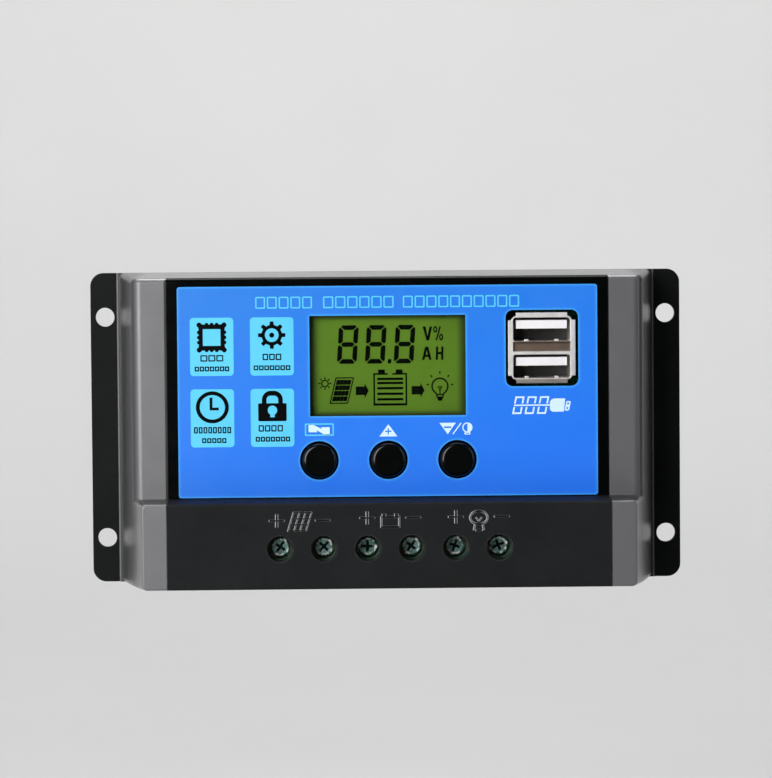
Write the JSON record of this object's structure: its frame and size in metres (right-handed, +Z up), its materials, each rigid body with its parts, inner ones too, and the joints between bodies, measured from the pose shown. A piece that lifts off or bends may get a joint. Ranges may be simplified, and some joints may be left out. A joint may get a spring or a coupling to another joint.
{
  "type": "solar charge controller",
  "caption": "Wall-mounted solar charge controller with a green display, push keys, stacked USB sockets, screw terminals and a flanged steel back plate.",
  "frame": {"origin": "centre of the back plate's rear face, which lies on the wall", "axes": "+Z up, +X to the right as seen from the front, +Y into the wall; the display faces -Y"},
  "size_m": [0.1334, 0.0353, 0.07],
  "materials": {
    "plate_paint": "satin black powder coat",
    "case_grey": "satin metallic grey",
    "frame_black": "gloss",
    "cover_black": "fine matt texture",
    "label_blue": "printed, semi-gloss",
    "clear_pane": "clear",
    "display_glass": "liquid-crystal glass with a green-yellow backlight",
    "light_guide": "frosted",
    "holder_white": "matt",
    "tinned_metal": "tinned",
    "board_green": "solder mask",
    "switch_black": "matt",
    "key_black": "gloss",
    "plated_shell": "bright nickel plate",
    "socket_black": "matt",
    "tongue_white": "satin",
    "contact_gold": "gold flash",
    "terminal_green": "satin",
    "chip_black": "moulded epoxy",
    "capacitor_sleeve": "shrink sleeve",
    "ferrite": "sintered ferrite",
    "resistor_body": "matt",
    "black_screw": "black oxide",
    "zinc_screw": "bright zinc",
    "clamp_metal": "nickel plate",
    "pad_rubber": "silicone pad",
    "print_cyan": "screen print, semi-gloss",
    "print_pale": "screen print, semi-gloss",
    "print_black": "screen print, semi-gloss",
    "display_ink": "liquid-crystal segment, dark"
  },
  "bodies": {
    "controller": {"back_plate": "plate_paint", "thermal_pad": "pad_rubber", "housing": "case_grey", "front_frame": "frame_black", "terminal_cover": "cover_black", "label_panel": "label_blue", "window_lens": "clear_pane", "display_glass": "display_glass", "display_light": "light_guide", "display_holder": "holder_white", "display_pins": "tinned_metal", "circuit_board": "board_green", "switch_bodies": "switch_black", "usb_shell": "plated_shell", "usb_insulator": "socket_black", "usb_tongues": "tongue_white", "usb_contacts": "contact_gold", "terminal_block": "terminal_green", "terminal_bars": "tinned_metal", "power_transistors": "chip_black", "capacitors": "capacitor_sleeve", "coil": "ferrite", "controller_chip": "chip_black", "power_chips": "chip_black", "power_diodes": "chip_black", "chip_resistors": "resistor_body", "case_screws": "black_screw", "board_screws": "zinc_screw"},
    "menu_key": {"menu_button": "key_black", "menu_switch_stem": "switch_black"},
    "up_key": {"up_button": "key_black", "up_switch_stem": "switch_black"},
    "down_key": {"down_button": "key_black", "down_switch_stem": "switch_black"},
    "screw_1": {"terminal_screw_1": "zinc_screw"},
    "clamp_1": {"clamp_cage_1": "clamp_metal"},
    "screw_2": {"terminal_screw_2": "zinc_screw"},
    "clamp_2": {"clamp_cage_2": "clamp_metal"},
    "screw_3": {"terminal_screw_3": "zinc_screw"},
    "clamp_3": {"clamp_cage_3": "clamp_metal"},
    "screw_4": {"terminal_screw_4": "zinc_screw"},
    "clamp_4": {"clamp_cage_4": "clamp_metal"},
    "screw_5": {"terminal_screw_5": "zinc_screw"},
    "clamp_5": {"clamp_cage_5": "clamp_metal"},
    "screw_6": {"terminal_screw_6": "zinc_screw"},
    "clamp_6": {"clamp_cage_6": "clamp_metal"}
  },
  "joints": [
    {"name": "menu_press", "type": "slide", "parent": "controller", "child": "menu_key", "axis": [0, 1, 0], "range_m": [0, 0.0004], "stiffness_N_per_m": 1500},
    {"name": "up_press", "type": "slide", "parent": "controller", "child": "up_key", "axis": [0, 1, 0], "range_m": [0, 0.0004], "stiffness_N_per_m": 1500},
    {"name": "down_press", "type": "slide", "parent": "controller", "child": "down_key", "axis": [0, 1, 0], "range_m": [0, 0.0004], "stiffness_N_per_m": 1500},
    {"name": "screw_1_turn", "type": "hinge", "parent": "controller", "child": "screw_1", "pos_m": [-0.02375, -0.0301, -0.0249], "axis": [0, 1, 0], "range_deg": [0, 2808]},
    {"name": "clamp_1_rise", "type": "slide", "parent": "controller", "child": "clamp_1", "axis": [0, -1, 0], "range_m": [0, 0.0039]},
    {"name": "screw_2_turn", "type": "hinge", "parent": "controller", "child": "screw_2", "pos_m": [-0.01425, -0.0301, -0.0249], "axis": [0, 1, 0], "range_deg": [0, 2808]},
    {"name": "clamp_2_rise", "type": "slide", "parent": "controller", "child": "clamp_2", "axis": [0, -1, 0], "range_m": [0, 0.0039]},
    {"name": "screw_3_turn", "type": "hinge", "parent": "controller", "child": "screw_3", "pos_m": [-0.00475, -0.0301, -0.0249], "axis": [0, 1, 0], "range_deg": [0, 2808]},
    {"name": "clamp_3_rise", "type": "slide", "parent": "controller", "child": "clamp_3", "axis": [0, -1, 0], "range_m": [0, 0.0039]},
    {"name": "screw_4_turn", "type": "hinge", "parent": "controller", "child": "screw_4", "pos_m": [0.00475, -0.0301, -0.0249], "axis": [0, 1, 0], "range_deg": [0, 2808]},
    {"name": "clamp_4_rise", "type": "slide", "parent": "controller", "child": "clamp_4", "axis": [0, -1, 0], "range_m": [0, 0.0039]},
    {"name": "screw_5_turn", "type": "hinge", "parent": "controller", "child": "screw_5", "pos_m": [0.01425, -0.0301, -0.0249], "axis": [0, 1, 0], "range_deg": [0, 2808]},
    {"name": "clamp_5_rise", "type": "slide", "parent": "controller", "child": "clamp_5", "axis": [0, -1, 0], "range_m": [0, 0.0039]},
    {"name": "screw_6_turn", "type": "hinge", "parent": "controller", "child": "screw_6", "pos_m": [0.02375, -0.0301, -0.0249], "axis": [0, 1, 0], "range_deg": [0, 2808]},
    {"name": "clamp_6_rise", "type": "slide", "parent": "controller", "child": "clamp_6", "axis": [0, -1, 0], "range_m": [0, 0.0039]}
  ],
  "couplings": [
    {"joint": "screw_1_turn", "follows": "clamp_1_rise", "rad_per_m": 12566},
    {"joint": "screw_2_turn", "follows": "clamp_2_rise", "rad_per_m": 12566},
    {"joint": "screw_3_turn", "follows": "clamp_3_rise", "rad_per_m": 12566},
    {"joint": "screw_4_turn", "follows": "clamp_4_rise", "rad_per_m": 12566},
    {"joint": "screw_5_turn", "follows": "clamp_5_rise", "rad_per_m": 12566},
    {"joint": "screw_6_turn", "follows": "clamp_6_rise", "rad_per_m": 12566}
  ]
}
